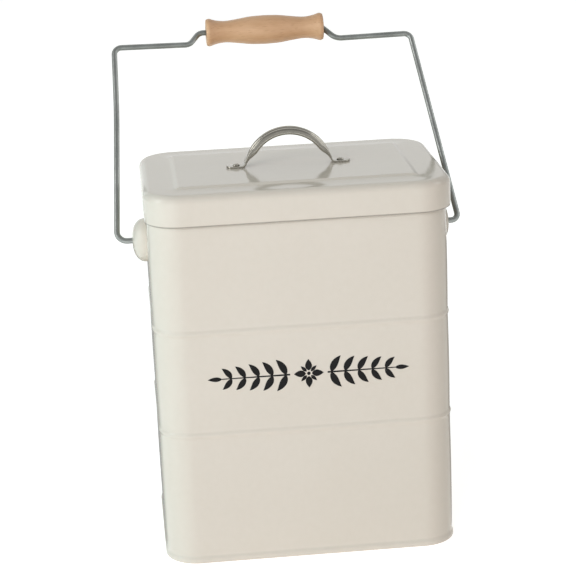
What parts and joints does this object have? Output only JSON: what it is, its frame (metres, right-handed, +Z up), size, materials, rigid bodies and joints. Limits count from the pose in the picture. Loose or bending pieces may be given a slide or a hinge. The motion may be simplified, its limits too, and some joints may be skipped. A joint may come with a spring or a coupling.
{
  "type": "laundry powder tin",
  "caption": "Rounded rectangular tin of painted sheet steel with a loose lid, an arched half-round lid handle and a wire bail with a turned wooden grip.",
  "frame": {"origin": "on the floor, under the middle of the tin's base", "axes": "+X to the tin's right along the bail's pivot, +Y to the back, +Z up"},
  "size_m": [0.2292, 0.173, 0.3317],
  "materials": {
    "cream_enamel": "glossy warm cream enamel paint on sheet steel",
    "nickel_plate": "bright nickel plate",
    "galvanised_wire": "drawn galvanised wire, satin",
    "beech_wood": "turned beech, satin lacquer"
  },
  "bodies": {
    "tin": {"base_pan": "cream_enamel", "body_wall": "cream_enamel", "ear_left": "cream_enamel", "ear_right": "cream_enamel"},
    "lid": {"lid": "cream_enamel", "lid_handle": "nickel_plate", "lid_rivet_left": "nickel_plate", "lid_rivet_right": "nickel_plate"},
    "bail": {"bail_wire": "galvanised_wire"},
    "grip": {"grip": "beech_wood"}
  },
  "joints": [
    {"name": "lid_lift", "type": "slide", "parent": "tin", "child": "lid", "axis": [0, 0, 1], "range_m": [0, 0.15]},
    {"name": "bail_swing", "type": "hinge", "parent": "tin", "child": "bail", "pos_m": [0, 0, 0.2025], "axis": [1, 0, 0], "range_deg": [-110, 186]},
    {"name": "grip_spin", "type": "hinge", "parent": "bail", "child": "grip", "pos_m": [0, 0.09327, 0.32188], "axis": [1, 0, 0], "continuous": true}
  ]
}
